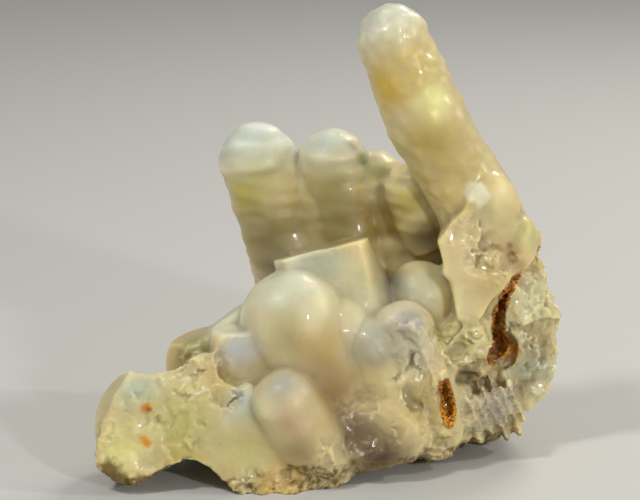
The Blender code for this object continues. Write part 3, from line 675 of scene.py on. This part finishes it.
def paint(mesh, name, values):
    """Keeps one number or one colour per point of the skin under a name that the material reads."""
    values = np.array(values, dtype=np.float32)
    kind, slot = ("FLOAT", "value") if values.ndim == 1 else ("FLOAT_COLOR", "color")
    layer = mesh.attributes.new(name, kind, "POINT")
    layer.data.foreach_set(slot, values.ravel())


def rind_at(point, facing_up):
    """1 where the clay rind clings: low down, and mostly on what faces the ground."""
    top = RIND_TOP + RIND_RAGGED * noise.noise(point / RIND_PATCH) - RIND_UNDER * min(0.0, facing_up)
    low = (top - point.z) / RIND_FADE
    return max(0.0, min(1.0, low)) * max(RIND_LEAST, min(1.0, RIND_UPRIGHT - RIND_TILT * facing_up))


mesh = stone.data
spots = [vertex.co.copy() for vertex in mesh.vertices]
# the stone's colour, with painted shade in the creases and painted light on ridges, tips and hearts
paint(mesh, "stone_colour_and_painted_light", [(*shaded(colour_at(spot), depth), 1.0)
                             for spot, depth in zip(spots, creases_of(mesh))])
brokenness = [roughness_at(spot) for spot in spots]
paint(mesh, "crust", brokenness)
paint(mesh, "glaze", [max(rough, TALL_GLAZE * nearness(spot, TALL_FINGER))
                      for rough, spot in zip(brokenness, spots)])
paint(mesh, "rust", [rust_at(spot) for spot in spots])
paint(mesh, "rind", [rind_at(vertex.co, vertex.normal.z) for vertex in mesh.vertices])

place = Matrix.Scale(MM, 4) @ Matrix.Translation(-MIDDLE)
mesh.transform(place)
mesh.shade_smooth()


# Each of these adds to the nodes of whichever material, or group, was opened last
def attribute(name):
    node = nodes.new("ShaderNodeAttribute")
    node.attribute_name = name
    return node


def link_in(node, values):
    """Feeds a node's inputs in order with numbers, vectors or other nodes' outputs."""
    for socket, value in zip(node.inputs, values):
        if isinstance(value, (int, float, tuple)):
            socket.default_value = value
        else:
            links.new(value, socket)


def reckon(operation, *values):
    node = nodes.new("ShaderNodeMath")
    node.operation = operation
    link_in(node, values)
    return node.outputs["Value"]


# A Mix node keeps its colour sockets after those for numbers and vectors
COLOUR_SOCKETS, COLOUR_RESULT = (0, 6, 7), 2


def mix(share, first, second, blend="MIX"):
    node = nodes.new("ShaderNodeMix")
    node.data_type = "RGBA"
    node.blend_type = blend
    factor, under, over = (node.inputs[i] for i in COLOUR_SOCKETS)
    for value, socket in ((share, factor), (first, under), (second, over)):
        if isinstance(value, (int, float)):
            socket.default_value = value
        elif isinstance(value, tuple):
            socket.default_value = (*value, 1.0)
        else:
            links.new(value, socket)
    return node.outputs[COLOUR_RESULT]


# The stone, the rust grains and the quartz points are all mottled, so the mottling is a group: noise with
# patches of a size in millimetres, spread so that its low becomes 0 and its high becomes 1
mottling = bpy.data.node_groups.new("mottling", "ShaderNodeTree")
for name in ("Size", "Detail", "Low", "High"):
    mottling.interface.new_socket(name=name, in_out="INPUT", socket_type="NodeSocketFloat")
mottling.interface.new_socket(name="Mask", in_out="OUTPUT", socket_type="NodeSocketFloat")
nodes, links = mottling.nodes, mottling.links
given = nodes.new("NodeGroupInput").outputs
noisy = nodes.new("ShaderNodeTexNoise")
links.new(nodes.new("ShaderNodeTexCoord").outputs["Object"], noisy.inputs["Vector"])
links.new(reckon("DIVIDE", 1 / MM, given["Size"]), noisy.inputs["Scale"])
links.new(given["Detail"], noisy.inputs["Detail"])
spread = nodes.new("ShaderNodeMapRange")
links.new(noisy.outputs["Fac"], spread.inputs["Value"])
links.new(given["Low"], spread.inputs["From Min"])
links.new(given["High"], spread.inputs["From Max"])
links.new(spread.outputs["Result"], nodes.new("NodeGroupOutput").inputs["Mask"])


def mottle(size, detail, low, high):
    node = nodes.new("ShaderNodeGroup")
    node.node_tree = mottling
    link_in(node, (size, detail, low, high))
    return node.outputs["Mask"]


def facets(size):
    """Heights in metres of flat facets, about as wide as the size in millimetres, each tilted its own way."""
    where = nodes.new("ShaderNodeTexCoord").outputs["Object"]
    cells = nodes.new("ShaderNodeTexVoronoi")
    cells.inputs["Scale"].default_value = 1 / MM / size
    links.new(where, cells.inputs["Vector"])
    away, tilt, height = (nodes.new("ShaderNodeVectorMath") for _ in range(3))
    away.operation, tilt.operation, height.operation = "SUBTRACT", "SUBTRACT", "DOT_PRODUCT"
    link_in(away, (where, cells.outputs["Position"]))
    link_in(tilt, (cells.outputs["Color"], (0.5, 0.5, 0.5)))
    link_in(height, (away.outputs["Vector"], tilt.outputs["Vector"]))
    return height.outputs["Value"]


# Faint clouds all through the stone, and pale wisps where it broke
CLOUD_SHARE, CLOUD_DARK, CLOUD_PALE = 0.12, (0.60, 0.52, 0.36), (1.0, 1.0, 0.96)
WISP_SHARE, WISP_GAIN = 0.5, (1.20, 1.20, 1.16)
DARK_RUST, BRIGHT_RUST = (0.22, 0.06, 0.01), (0.90, 0.38, 0.02)
CLAY = (0.20, 0.12, 0.012)
# How far light wanders inside the stone in metres, deep under the smooth skin and little where it broke, and
# how much of that red, green and blue light each go
SMOOTH_GLOW, BROKEN_GLOW = 0.0028, 0.0010
GLOW_BY_COLOUR = (1.0, 0.66, 0.26)
# A glassy coat lies thin on the domes and thick on fresh breaks; the skin under it runs from dull to glossy
THIN_COAT, COAT_GAIN, COAT_ROUGHNESS = 0.14, 0.66, 0.04
DULL, GLOSSY = 0.50, 0.16
STONE_IOR = 1.54
# The relief that is too fine for the mesh: flat facets on the breaks, each size with its share of its own
# tilt, and soft waves all over, each with its height in metres
FACETS = ((3.2, 0.7), (1.0, 0.22))
SOFT_WAVES = ((2.4, 1.0, 0.00012), (0.6, 3.0, 0.00002))

chalcedony = bpy.data.materials.new("chalcedony")
chalcedony.use_nodes = True
nodes, links = chalcedony.node_tree.nodes, chalcedony.node_tree.links
shader = nodes["Principled BSDF"]
broken = attribute("crust").outputs["Fac"]
clouds = mix(mottle(5.0, 3.0, 0.3, 0.7), CLOUD_DARK, CLOUD_PALE)
# the stone's colour comes in with its painted shade, glow and scattered light
body = mix(CLOUD_SHARE, attribute("stone_colour_and_painted_light").outputs["Color"], clouds, "MULTIPLY")
wisps = reckon("MULTIPLY", mottle(1.6, 2.0, 0.35, 0.7), reckon("MULTIPLY", broken, WISP_SHARE))
body = mix(wisps, body, WISP_GAIN, "MULTIPLY")
rusty = reckon("MULTIPLY", attribute("rust").outputs["Fac"], mottle(1.1, 3.0, 0.20, 0.42))
body = mix(rusty, body, mix(mottle(0.8, 2.0, 0.4, 0.6), DARK_RUST, BRIGHT_RUST))
clay = reckon("MULTIPLY", attribute("rind").outputs["Fac"], mottle(0.9, 4.0, 0.30, 0.60))
body = mix(clay, body, CLAY)
links.new(body, shader.inputs["Base Color"])
shader.inputs["Subsurface Weight"].default_value = 1.0
glow = reckon("MULTIPLY_ADD", broken, BROKEN_GLOW - SMOOTH_GLOW, SMOOTH_GLOW)
links.new(glow, shader.inputs["Subsurface Scale"])
shader.inputs["Subsurface Radius"].default_value = GLOW_BY_COLOUR
shader.inputs["IOR"].default_value = STONE_IOR
shader.inputs["Coat Roughness"].default_value = COAT_ROUGHNESS
clean = reckon("SUBTRACT", 1.0, reckon("MAXIMUM", clay, rusty))
glaze = reckon("MULTIPLY", attribute("glaze").outputs["Fac"], COAT_GAIN)
glassy = reckon("MULTIPLY", clean, reckon("ADD", glaze, THIN_COAT))
links.new(glassy, shader.inputs["Coat Weight"])
gloss = nodes.new("ShaderNodeMapRange")
gloss.inputs["To Min"].default_value = DULL
gloss.inputs["To Max"].default_value = GLOSSY
links.new(glassy, gloss.inputs["Value"])
links.new(gloss.outputs["Result"], shader.inputs["Roughness"])
shards = reckon("ADD", *(reckon("MULTIPLY", facets(size), share) for size, share in FACETS))
waxy = reckon("ADD", *(reckon("MULTIPLY", mottle(size, detail, 0.2, 0.8), height)
                       for size, detail, height in SOFT_WAVES))
bump = nodes.new("ShaderNodeBump")
bump.inputs["Distance"].default_value = 1.0
links.new(reckon("ADD", reckon("MULTIPLY", shards, broken), waxy), bump.inputs["Height"])
links.new(bump.outputs["Normal"], shader.inputs["Normal"])
stone.data.materials.clear()
stone.data.materials.append(chalcedony)
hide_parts("agate_specimen")
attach(stone, "root")


# The crystals that grew last. Water left golden and dark grains of iron oxide on the walls of the clefts, and
# a sugar of small quartz points on the ribs. They are joined into one piece of each.

# Each bed: its middle, reach, how many crystals, and how golden they are halfway up it.
RUST_BEDS = [((36.4, -2, 33.4), 4.6, 90, 0.5), ((34.9, -2, 28.4), 4.6, 110, 0.5),
             ((33.4, -2, 22.6), 4.6, 110, 0.0), ((24.4, -10.4, 15.2), 6.4, 420, 0.65),
             ((24.6, -9.4, 10.6), 2.2, 60, 1.0)]
CLEFT_WALL = 0.3
GRAIN_SIZE = (0.20, 0.46)
GOLD_BY_DEPTH, GOLD_BY_CHANCE = 0.9, 0.4
QUARTZ_BEDS = [((31, -6, 11), 5.5, 110, 0.5), ((36, -4, 13), 4.5, 60, 0.5)]
POINT_SIZE = (0.22, 0.44)
# A crystal leans off the wall by up to this share of its length
LEAN = 0.5
chance = random.Random(5)


def beds(places, in_clefts):
    """Spots of the skin in each bed, each with the way that the skin faces and how golden it is there."""
    for middle, reach, count, gold in places:
        near = [i for i, spot in enumerate(spots) if (spot - Vector(middle)).length < reach
                and (off_cleft(spot) < CLEFT_WALL) == in_clefts]
        for i in chance.sample(near, min(count, len(near))):
            depth = (middle[2] - spots[i].z) / (2 * reach)
            yield spots[i], mesh.vertices[i].normal, gold + GOLD_BY_DEPTH * depth


def lay(spot, way, size, length):
    """Places a shape one unit wide on the skin, leaning a little by chance."""
    off = Vector((chance.uniform(-LEAN, LEAN), chance.uniform(-LEAN, LEAN), chance.uniform(-LEAN, LEAN)))
    turn = (way + off).to_track_quat("Z", "Y").to_matrix().to_4x4()
    return place @ Matrix.Translation(spot) @ turn @ Matrix.Diagonal((size, size, size * length, 1))


grains = bmesh.new()
shades = []
for spot, way, gold in beds(RUST_BEDS, True):
    ball = bmesh.ops.create_icosphere(grains, subdivisions=1, radius=1,
                                      matrix=lay(spot, way, chance.uniform(*GRAIN_SIZE), 1.2))["verts"]
    shades += [gold + GOLD_BY_CHANCE * (chance.random() - 0.5)] * len(ball)
rust = object_from(grains, "rust_crystals")
paint(rust.data, "shade", shades)

points = bmesh.new()
for spot, way, _ in beds(QUARTZ_BEDS, False):
    bmesh.ops.create_cone(points, cap_ends=True, segments=6, radius1=1, radius2=0, depth=2,
                          matrix=lay(spot, way, chance.uniform(*POINT_SIZE), 1.0))
quartz = object_from(points, "quartz_points")

RED_BROWN, GOLD, NEAR_BLACK = (0.34, 0.08, 0.01), (0.92, 0.40, 0.02), (0.20, 0.05, 0.008)
iron = bpy.data.materials.new("iron_oxide")
iron.use_nodes = True
nodes, links = iron.node_tree.nodes, iron.node_tree.links
shader = nodes["Principled BSDF"]
golden = mix(attribute("shade").outputs["Fac"], RED_BROWN, GOLD)
links.new(mix(mottle(0.6, 1.0, 0.36, 0.58), NEAR_BLACK, golden), shader.inputs["Base Color"])
shader.inputs["Roughness"].default_value = 0.16
shader.inputs["Subsurface Weight"].default_value = 0.3
shader.inputs["Subsurface Scale"].default_value = 0.0006
rust.data.materials.append(iron)

SMOKY, CLEAR = (0.60, 0.52, 0.34), (0.84, 0.78, 0.62)
clear = bpy.data.materials.new("quartz")
clear.use_nodes = True
nodes, links = clear.node_tree.nodes, clear.node_tree.links
shader = nodes["Principled BSDF"]
links.new(mix(mottle(2.0, 2.0, 0.3, 0.7), SMOKY, CLEAR), shader.inputs["Base Color"])
shader.inputs["Roughness"].default_value = 0.08
shader.inputs["IOR"].default_value = STONE_IOR
shader.inputs["Transmission Weight"].default_value = 0.25
quartz.data.materials.append(clear)
for piece in (rust, quartz):
    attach(piece, "root")


# The floor, the lamps and the camera: a plain pale table, a soft lamp high at the left, one that lights the
# stone through from behind, a fill from the front and a small one for the glints at the right. The camera has
# the photograph's own angle, fifteen degrees down on the front.
FLOOR_HALF = 1.6
PALE_GREY = (0.62, 0.62, 0.61, 1)
WARM, WARMER, SKY_WHITE = (1.0, 0.97, 0.90), (1.0, 0.95, 0.84), (1.0, 0.99, 0.97, 1)
CAMERA_DOWN = math.radians(15)
CAMERA_AWAY = 0.42
AIM = (Vector((0, 0, 42)) - MIDDLE) * MM
FOCAL_SHARE = 2170 / 640

table = bmesh.new()
bmesh.ops.create_grid(table, x_segments=1, y_segments=1, size=FLOOR_HALF)
floor = object_from(table, "table_top")
plaster = bpy.data.materials.new("pale_table")
plaster.use_nodes = True
plaster.node_tree.nodes["Principled BSDF"].inputs["Base Color"].default_value = PALE_GREY
plaster.node_tree.nodes["Principled BSDF"].inputs["Roughness"].default_value = 0.7
floor.data.materials.append(plaster)


def lamp(name, place, size, watts, colour=(1, 1, 1)):
    light = bpy.data.lights.new(name, "AREA")
    light.shape = "DISK"
    light.size = size
    light.energy = watts
    light.color = colour
    holder = bpy.data.objects.new(name, light)
    holder.location = place
    holder.rotation_euler = (AIM - Vector(place)).to_track_quat("-Z", "Y").to_euler()
    bpy.context.scene.collection.objects.link(holder)


lamp("high_left", (-0.28, -0.22, 0.55), 0.09, 1.38, WARM)
lamp("behind", (0.24, 0.36, 0.46), 0.20, 1.3, WARMER)
lamp("front_fill", (0.40, -0.60, 0.30), 0.06, 1.6)
lamp("right_glint", (0.52, -0.06, 0.36), 0.04, 0.75, WARM)

bpy.context.scene.view_settings.view_transform = "Standard"
sky = bpy.data.worlds.new("studio")
sky.use_nodes = True
sky.node_tree.nodes["Background"].inputs["Color"].default_value = SKY_WHITE
sky.node_tree.nodes["Background"].inputs["Strength"].default_value = 0.27
bpy.context.scene.world = sky

lens = bpy.data.cameras.new("photo_camera")
lens.sensor_width = 36
lens.lens = lens.sensor_width * FOCAL_SHARE
camera = bpy.data.objects.new("photo_camera", lens)
camera.location = AIM + Vector((0, -math.cos(CAMERA_DOWN), math.sin(CAMERA_DOWN))) * CAMERA_AWAY
camera.rotation_euler = (math.pi / 2 - CAMERA_DOWN, 0, 0)
bpy.context.scene.collection.objects.link(camera)
bpy.context.scene.camera = camera
